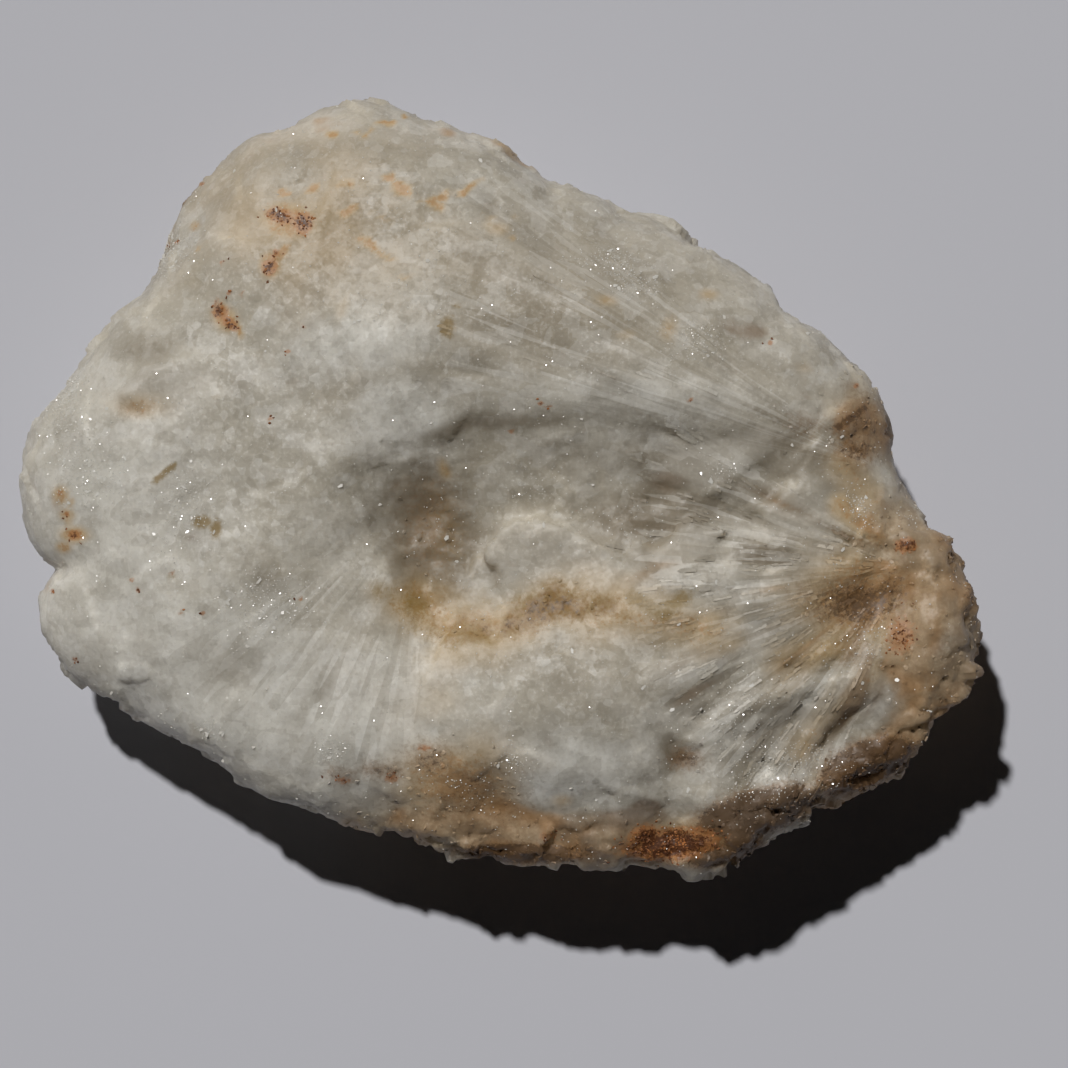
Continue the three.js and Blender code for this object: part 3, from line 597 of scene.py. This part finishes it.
def colour(red, green, blue):
    """A colour as seen on a screen, from 0 to 255, as the linear values that a shader takes."""
    return (*(((c / 255 + 0.055) / 1.055) ** 2.4 for c in (red, green, blue)), 1.0)


stone = bpy.data.materials.new("celestine")
stone.use_nodes = True
tree = stone.node_tree
tree.nodes.clear()
place = put(tree, "ShaderNodeTexCoord").outputs["Object"]


def vector_maths(operation, inputs):
    return put(tree, "ShaderNodeVectorMath", inputs, operation=operation).outputs[0]


def mask_of(name, output="Fac"):
    return put(tree, "ShaderNodeAttribute", attribute_name=name).outputs[output]


def parts_of(vector):
    return put(tree, "ShaderNodeSeparateXYZ", {0: vector}).outputs


def edged(name, low, high, moving, by):
    """A stain whose edge breaks up into grains: its mask, moved by a noise, then cut between low and high."""
    moved = maths(tree, "MULTIPLY_ADD", maths(tree, "SUBTRACT", moving, 0.5), by)
    tree.links.new(mask_of(name), moved.node.inputs[2])
    return span(tree, moved, low, high)


def over(share, strength, under_colour, over_colour):
    return blend_colour(tree, maths(tree, "MULTIPLY", share, strength), under_colour, over_colour)


def pick(share, one, other):
    """One vector where the share is under a half, the other where it is over."""
    mixed = put(tree, "ShaderNodeMix", data_type="VECTOR")
    tree.links.new(maths(tree, "GREATER_THAN", share, 0.5), mixed.inputs[0])
    tree.links.new(one, mixed.inputs[4])
    tree.links.new(other, mixed.inputs[5])
    return mixed.outputs[1]


# The grains: round ones in the mass, long ones along the rays of the fans
GRAIN = 0.75  # millimetres
FINE_GRAIN = 0.45  # millimetres
cloud = parts_of(mask_of("cloud", "Vector"))
fine_noise = put(tree, "ShaderNodeTexNoise", {
    "Vector": place, "Scale": 1 / (FINE_GRAIN * MM), "Detail": 3.0, "Roughness": 0.7,
})
fine = parts_of(fine_noise.outputs["Color"])
fan_share = mask_of("fan")
side_share = mask_of("side")
round_place = vector_maths("SCALE", {0: place, "Scale": 1 / (GRAIN * MM)})
frayed = maths(tree, "MULTIPLY", maths(tree, "SUBTRACT", fine[1], 0.5), 0.8)
grain_place = pick(maths(tree, "ADD", side_share, frayed), round_place, mask_of("side_flow", "Vector"))
grain_place = pick(maths(tree, "ADD", fan_share, frayed), grain_place, mask_of("fan_flow", "Vector"))
grains = put(tree, "ShaderNodeTexVoronoi", {"Vector": grain_place, "Scale": 1.0}, feature="F1")
grain = parts_of(grains.outputs["Color"])
streaky = maths(tree, "MAXIMUM", fan_share, maths(tree, "MULTIPLY", side_share, 0.4))

# The colours, each laid over the ones before it: the stone's greys and whites first, partly painted light and
# shade, then the stains
facet_share = mask_of("facet")
base = blend_colour(tree, span(tree, cloud[0], 0.3, 0.7), colour(186, 179, 164), colour(204, 198, 185))
# Painted shade and light, in part: the dim colour darkens tops that face the lamp, and the milk colour
# lightens slopes that face away from it.
base = over(mask_of("dim_and_painted_shade"), 0.75, base, colour(160, 149, 130))
base = over(edged("milk_and_painted_light", 0.1, 1.0, cloud[2], 0.5), 0.8, base, colour(233, 230, 221))
base = over(span(tree, cloud[1], 0.55, 0.85), 0.5, base, colour(218, 214, 205))
base = over(span(tree, cloud[2], 0.5, 0.8), 0.4, base, colour(158, 151, 138))
base = over(span(tree, facet_share, 0.7, 0.8), 0.2, base, colour(150, 142, 128))
base = over(span(tree, facet_share, 0.3, 0.2), 0.25, base, colour(226, 223, 216))
base = over(span(tree, fine[0], 0.45, 0.7), 0.18, base, colour(146, 138, 124))
base = over(span(tree, fine[1], 0.5, 0.72), 0.22, base, colour(232, 230, 224))
base = over(span(tree, grain[0], 0.6, 1.0), 0.12, base, colour(140, 132, 116))
base = over(span(tree, grain[1], 0.7, 1.0), 0.16, base, colour(232, 231, 227))
# The grey is partly painted shade, in the hollow and under the lip.
base = over(edged("grey_and_painted_shade", 0.1, 1.0, cloud[2], 0.7), 0.85, base, colour(120, 107, 86))
dark_rays = maths(tree, "MULTIPLY", span(tree, grain[0], 0.35, 0.8), streaky)
base = over(dark_rays, 0.18, base, colour(146, 132, 112))
light_rays = maths(tree, "MULTIPLY", span(tree, grain[1], 0.6, 0.9), streaky)
base = over(light_rays, 0.2, base, colour(222, 218, 209))
base = over(mask_of("plate"), 0.35, base, colour(196, 189, 177))
base = over(edged("ochre", 0.06, 0.86, cloud[1], 0.5), 0.62, base, colour(198, 165, 112))
base = over(edged("ochre", 0.62, 1.0, fine[2], 1.4), 0.5, base, colour(182, 130, 70))
base = over(edged("olive", 0.2, 1.0, fine[2], 0.9), 0.8, base, colour(142, 116, 60))
base = over(edged("crust", 0.2, 0.9, cloud[1], 0.9), 0.7, base, colour(140, 116, 88))
base = over(edged("crust", 0.5, 0.9, cloud[2], 2.0), 0.5, base, colour(126, 96, 64))
base = over(edged("crust", 0.6, 1.0, cloud[1], 2.0), 0.5, base, colour(182, 138, 88))
base = over(edged("crust", 0.4, 0.9, cloud[0], 1.8), 0.4, base, colour(200, 186, 160))
base = over(edged("crust", 0.5, 1.0, fine[0], 1.4), 0.3, base, colour(122, 94, 66))
# The brown's darkest level is partly painted shade, on shaded facets and ledges.
base = over(edged("brown", 0.2, 1.0, fine[0], 0.8), 0.7, base, colour(146, 108, 68))
base = over(edged("brown", 0.6, 1.0, fine[1], 1.5), 0.66, base, colour(68, 50, 35))
base = over(edged("rust", 0.25, 0.6, fine[1], 0.8), 0.65, base, colour(180, 118, 64))
base = over(edged("rust", 0.55, 0.95, fine[0], 1.6), 0.9, base, colour(80, 42, 22))

# Each grain's face is turned a little its own way, and pitted
straight = put(tree, "ShaderNodeNewGeometry").outputs["Normal"]
turned = vector_maths("SUBTRACT", {0: grains.outputs["Color"], 1: (0.5, 0.5, 0.5)})
turned = vector_maths("SCALE", {0: turned, "Scale": 0.16})
pitted = vector_maths("SUBTRACT", {0: fine_noise.outputs["Color"], 1: (0.5, 0.5, 0.5)})
pitted = vector_maths("SCALE", {0: pitted, "Scale": 0.6})
tilt = vector_maths("ADD", {0: turned, 1: pitted})
tilt = vector_maths("ADD", {0: straight, 1: tilt})
tilt = vector_maths("NORMALIZE", {0: tilt})
skin = put(tree, "ShaderNodeBsdfPrincipled", {
    "Base Color": base,
    "Roughness": 0.5,
    "IOR": 1.62,
    "Specular IOR Level": 0.35,
    "Normal": tilt,
    "Subsurface Weight": 0.7,
    "Subsurface Radius": (1.0, 0.92, 0.8),
    "Subsurface Scale": 0.003,
})
skin.subsurface_method = "BURLEY"
put(tree, "ShaderNodeOutputMaterial", {"Surface": skin.outputs[0]})
lump_mesh.materials.append(stone)
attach(lump, "root")
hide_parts("celestine_lump")

# The blades of the fan
# Thin laths of celestine that grew side by side out of the crusted end, and broke off at all lengths.
# They are rooted in the mass and lie along the rays, a little apart from one another.

# Light scattered under the skin of such small pieces would leave them dark, so theirs has none
grain_stone = stone.copy()
grain_stone.name = "celestine_grains"
grain_stone.node_tree.nodes["Principled BSDF"].inputs["Subsurface Weight"].default_value = 0


def hull(name, corners):
    """A closed flat-faced crystal, in millimetres."""
    shape = bmesh.new()
    for corner in corners:
        shape.verts.new(Vector(corner) * MM)
    bmesh.ops.convex_hull(shape, input=shape.verts)
    bmesh.ops.recalc_face_normals(shape, faces=shape.faces)
    mesh = bpy.data.meshes.new(name)
    shape.to_mesh(mesh)
    shape.free()
    crystal = bpy.data.objects.new(name, mesh)
    scene.collection.objects.link(crystal)
    return crystal


def named(nodes, name, kind="FLOAT"):
    return put(nodes, "GeometryNodeInputNamedAttribute", {"Name": name}, data_type=kind).outputs[0]


def grow(name, crystal, mask, per_square_mm, sizes, turns, seed, along=None, towards=None, stuff=grain_stone):
    """
    Sets copies of a crystal on the skin, more of them where the mask is high, and joins them. The sizes
    are the least and the most of each side in millimetres, and the turns the most in radians. None
    stands by the face that the lump rests on, where it would poke through the table.
    """
    nodes = bpy.data.node_groups.new(name, "GeometryNodeTree")
    sockets = [
        nodes.interface.new_socket(label, in_out="INPUT", socket_type=kind)
        for label, kind in (("Geometry", "NodeSocketGeometry"), ("Per area", "NodeSocketFloat"),
                            ("Smallest", "NodeSocketVector"), ("Largest", "NodeSocketVector"),
                            ("Seed", "NodeSocketInt"))
    ]
    nodes.interface.new_socket("Geometry", in_out="OUTPUT", socket_type="NodeSocketGeometry")
    given = put(nodes, "NodeGroupInput").outputs
    thick = maths(nodes, "MULTIPLY", maths(nodes, "POWER", named(nodes, mask), 2.0), named(nodes, "free"))
    thick = maths(nodes, "MULTIPLY", thick, given["Per area"])
    spots = put(nodes, "GeometryNodeDistributePointsOnFaces", {
        "Mesh": given["Geometry"], "Density": thick, "Seed": given["Seed"],
    })
    turn = spots.outputs["Rotation"]
    if along:
        turn = put(nodes, "FunctionNodeAlignRotationToVector", {
            "Rotation": turn, "Vector": named(nodes, along, "FLOAT_VECTOR"),
        }, axis="X", pivot_axis="Z").outputs[0]
    if towards:
        turn = put(nodes, "FunctionNodeAlignRotationToVector", {
            "Rotation": turn, "Factor": 0.7, "Vector": towards,
        }, axis="Z").outputs[0]
    least = tuple(-most for most in turns)
    off = put(nodes, "FunctionNodeRandomValue", {
        0: least, 1: turns, "Seed": given["Seed"],
    }, data_type="FLOAT_VECTOR").outputs[0]
    off = put(nodes, "FunctionNodeEulerToRotation", {0: off}).outputs[0]
    turn = put(nodes, "FunctionNodeRotateRotation", {0: turn, 1: off}, rotation_space="LOCAL").outputs[0]
    size = put(nodes, "FunctionNodeRandomValue", {
        0: given["Smallest"], 1: given["Largest"], "Seed": given["Seed"],
    }, data_type="FLOAT_VECTOR").outputs[0]
    copy = put(nodes, "GeometryNodeObjectInfo", {"Object": crystal}).outputs["Geometry"]
    set_on = put(nodes, "GeometryNodeInstanceOnPoints", {
        "Points": spots.outputs["Points"], "Instance": copy, "Rotation": turn, "Scale": size,
    }).outputs[0]
    joined = put(nodes, "GeometryNodeRealizeInstances", {0: set_on}).outputs[0]
    joined = put(nodes, "GeometryNodeSetMaterial", {"Geometry": joined, "Material": stuff}).outputs[0]
    put(nodes, "NodeGroupOutput", {0: joined})

    grown = bpy.data.objects.new(name, lump_mesh)
    scene.collection.objects.link(grown)
    growth = grown.modifiers.new(name, "NODES")
    growth.node_group = nodes
    for socket, value in zip(sockets[1:], (per_square_mm / MM**2, *sizes, seed)):
        growth[socket.identifier] = value
    mesh = bpy.data.meshes.new_from_object(grown.evaluated_get(bpy.context.evaluated_depsgraph_get()))
    grown.modifiers.clear()
    grown.data = mesh
    bpy.data.node_groups.remove(nodes)
    bpy.data.objects.remove(crystal)
    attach(grown, "root")


lath = hull("lath", [
    (-0.5, -0.5, -0.8), (-0.5, 0.5, -0.8), (-0.5, -0.5, 0.0), (-0.5, 0.5, 0.3), (0.3, -0.5, 0.05),
    (0.36, 0.5, 0.35), (0.5, 0.1, 0.1), (0.5, 0.1, -0.8), (0.3, -0.5, -0.8), (0.36, 0.5, -0.8),
])
grow("fan_blades", lath, "bladed", per_square_mm=0.8, sizes=((0.6, 0.12, 0.02), (2.2, 0.4, 0.1)),
     turns=(0.1, 0.02, 0.06), seed=5, along="heading")

# The open cleavage faces
# Celestine parts in flat faces. Where it broke through grains that lie the same way, their small faces
# are nearly level with each other and flash together in the sun.
GLANCE = Vector((-0.14, 0.3, 0.94))  # halfway between the sun and the eye
FLAKE = [
    (0.5, 0.1, 0.1), (0.2, 0.45, 0.1), (-0.4, 0.35, 0.1), (-0.5, -0.2, 0.1), (0.1, -0.4, 0.1),
    (0.4, 0.1, -0.5), (0.1, 0.35, -0.5), (-0.3, 0.25, -0.5), (-0.4, -0.1, -0.5), (0.1, -0.3, -0.5),
]
CLEAR_CLOUD = 0.8  # millimetres
clear = bpy.data.materials.new("clear_celestine")
clear.use_nodes = True
clear_tree = clear.node_tree
clear_place = put(clear_tree, "ShaderNodeTexCoord").outputs["Object"]
clear_noise = put(clear_tree, "ShaderNodeTexNoise", {
    "Vector": clear_place, "Scale": 1 / (CLEAR_CLOUD * MM), "Detail": 1.0,
}).outputs["Fac"]
clear_colour = blend_colour(clear_tree, clear_noise, colour(186, 180, 168), colour(228, 227, 222))
clear_shader = clear_tree.nodes["Principled BSDF"]
clear_tree.links.new(clear_colour, clear_shader.inputs["Base Color"])
clear_shader.inputs["Roughness"].default_value = 0.2
clear_shader.inputs["IOR"].default_value = 1.62
grow("cleavage_faces", hull("flake", FLAKE), "glitter", per_square_mm=14.0,
     sizes=((0.05, 0.05, 0.3), (0.22, 0.18, 0.5)), turns=(0.26, 0.26, 3.1), seed=6,
     towards=GLANCE, stuff=clear)

# The broad cleavage faces
# A few grains broke open up to 0.8 mm wide. They shine like the small faces, as single bright points.
grow("broad_faces", hull("flake", FLAKE), "glitter", per_square_mm=0.24,
     sizes=((0.25, 0.2, 0.3), (0.8, 0.5, 0.5)), turns=(0.16, 0.16, 3.1), seed=12, towards=GLANCE, stuff=clear)

# The crumbs of the crust
# Broken grains held together with iron clay, on the worn end and along the lower edge. Each is a ball
# knocked out of shape.
CRUMB_JITTER = 0.16
shape = bmesh.new()
bmesh.ops.create_icosphere(shape, subdivisions=1, radius=0.5)
ball = np.array([vertex.co[:] for vertex in shape.verts])
shape.free()
ball += (np.stack([chance(ball * 10, seed) for seed in (91, 92, 93)], axis=1) - 0.5) * CRUMB_JITTER * 2
grow("crust_crumbs", hull("crumb", ball.tolist()), "crust", per_square_mm=0.6,
     sizes=((0.2, 0.2, 0.12), (0.6, 0.5, 0.25)), turns=(0.3, 0.3, 3.1), seed=7)

# The brown crumbs
# The same broken grains where iron water soaked in deeper: at the root of the fan, in the brown patch
# below the hollow and along the crease.
grow("brown_crumbs", hull("crumb", ball.tolist()), "brown", per_square_mm=0.7,
     sizes=((0.2, 0.2, 0.12), (0.6, 0.5, 0.25)), turns=(0.4, 0.4, 3.1), seed=8)

# The iron grains
# Specks of goethite and hematite, the rust of iron water, caught between the grains.
RUST_CLOUD = 0.7  # millimetres
iron = bpy.data.materials.new("iron_oxide")
iron.use_nodes = True
iron_tree = iron.node_tree
iron_place = put(iron_tree, "ShaderNodeTexCoord").outputs["Object"]
iron_noise = put(iron_tree, "ShaderNodeTexNoise", {
    "Vector": iron_place, "Scale": 1 / (RUST_CLOUD * MM), "Detail": 2.0,
}).outputs["Fac"]
iron_share = span(iron_tree, iron_noise, 0.4, 0.65)
iron_colour = blend_colour(iron_tree, iron_share, colour(104, 62, 34), colour(180, 118, 66))
iron_shader = iron_tree.nodes["Principled BSDF"]
iron_tree.links.new(iron_colour, iron_shader.inputs["Base Color"])
iron_shader.inputs["Roughness"].default_value = 0.6
grow("iron_grains", hull("grain", ball.tolist()), "rust", per_square_mm=9.0,
     sizes=((0.1, 0.1, 0.1), (0.36, 0.32, 0.24)), turns=(0.8, 0.8, 3.1), seed=9, stuff=iron)

# The table and the light
# A pale matt sheet, one high lamp from the upper left of the view and a weak even glow.
VIEW_SIZE = 106.8  # millimetres of the rim's level that the view takes in
RIM_LEVEL = 12.0  # millimetres above the table
VIEW_CENTRE = (3.5, -4.8)  # millimetres, in the plan
LENS = 120  # millimetres
SENSOR = 36  # millimetres
SHEET = 3  # metres from the middle to an edge
SUN_FROM = (-0.42, 0.91, 1.364)
SUN_STRENGTH = 2.5
SUN_WIDTH = 2.5  # degrees, which sets how soft the shadow's edge is
GLOW = 0.006

sheet = bpy.data.meshes.new("table")
corners = [(-SHEET, -SHEET, 0), (SHEET, -SHEET, 0), (SHEET, SHEET, 0), (-SHEET, SHEET, 0)]
sheet.from_pydata(corners, [], [(0, 1, 2, 3)])
paper = bpy.data.materials.new("paper")
paper.use_nodes = True
paper_shader = paper.node_tree.nodes["Principled BSDF"]
paper_shader.inputs["Base Color"].default_value = colour(206, 207, 215)
paper_shader.inputs["Roughness"].default_value = 0.9
sheet.materials.append(paper)
floor = bpy.data.objects.new("table", sheet)
scene.collection.objects.link(floor)

lamp = bpy.data.lights.new("lamp", "SUN")
lamp.energy = SUN_STRENGTH
lamp.angle = math.radians(SUN_WIDTH)
lamp.color = (1.0, 0.985, 0.96)
sun = bpy.data.objects.new("lamp", lamp)
sun.rotation_euler = Vector(SUN_FROM).to_track_quat("Z", "Y").to_euler()
scene.collection.objects.link(sun)
world = bpy.data.worlds.new("glow")
world.use_nodes = True
glow = world.node_tree.nodes["Background"]
glow.inputs["Color"].default_value = (0.9, 0.95, 1.0, 1)
glow.inputs["Strength"].default_value = GLOW
scene.world = world
scene.view_settings.view_transform = "Standard"

eye = bpy.data.cameras.new("camera")
eye.lens = LENS
eye.sensor_width = SENSOR
eye.clip_start = 0.01
camera = bpy.data.objects.new("camera", eye)
camera.location = Vector((*VIEW_CENTRE, RIM_LEVEL + VIEW_SIZE * LENS / SENSOR)) * MM
scene.collection.objects.link(camera)
scene.camera = camera
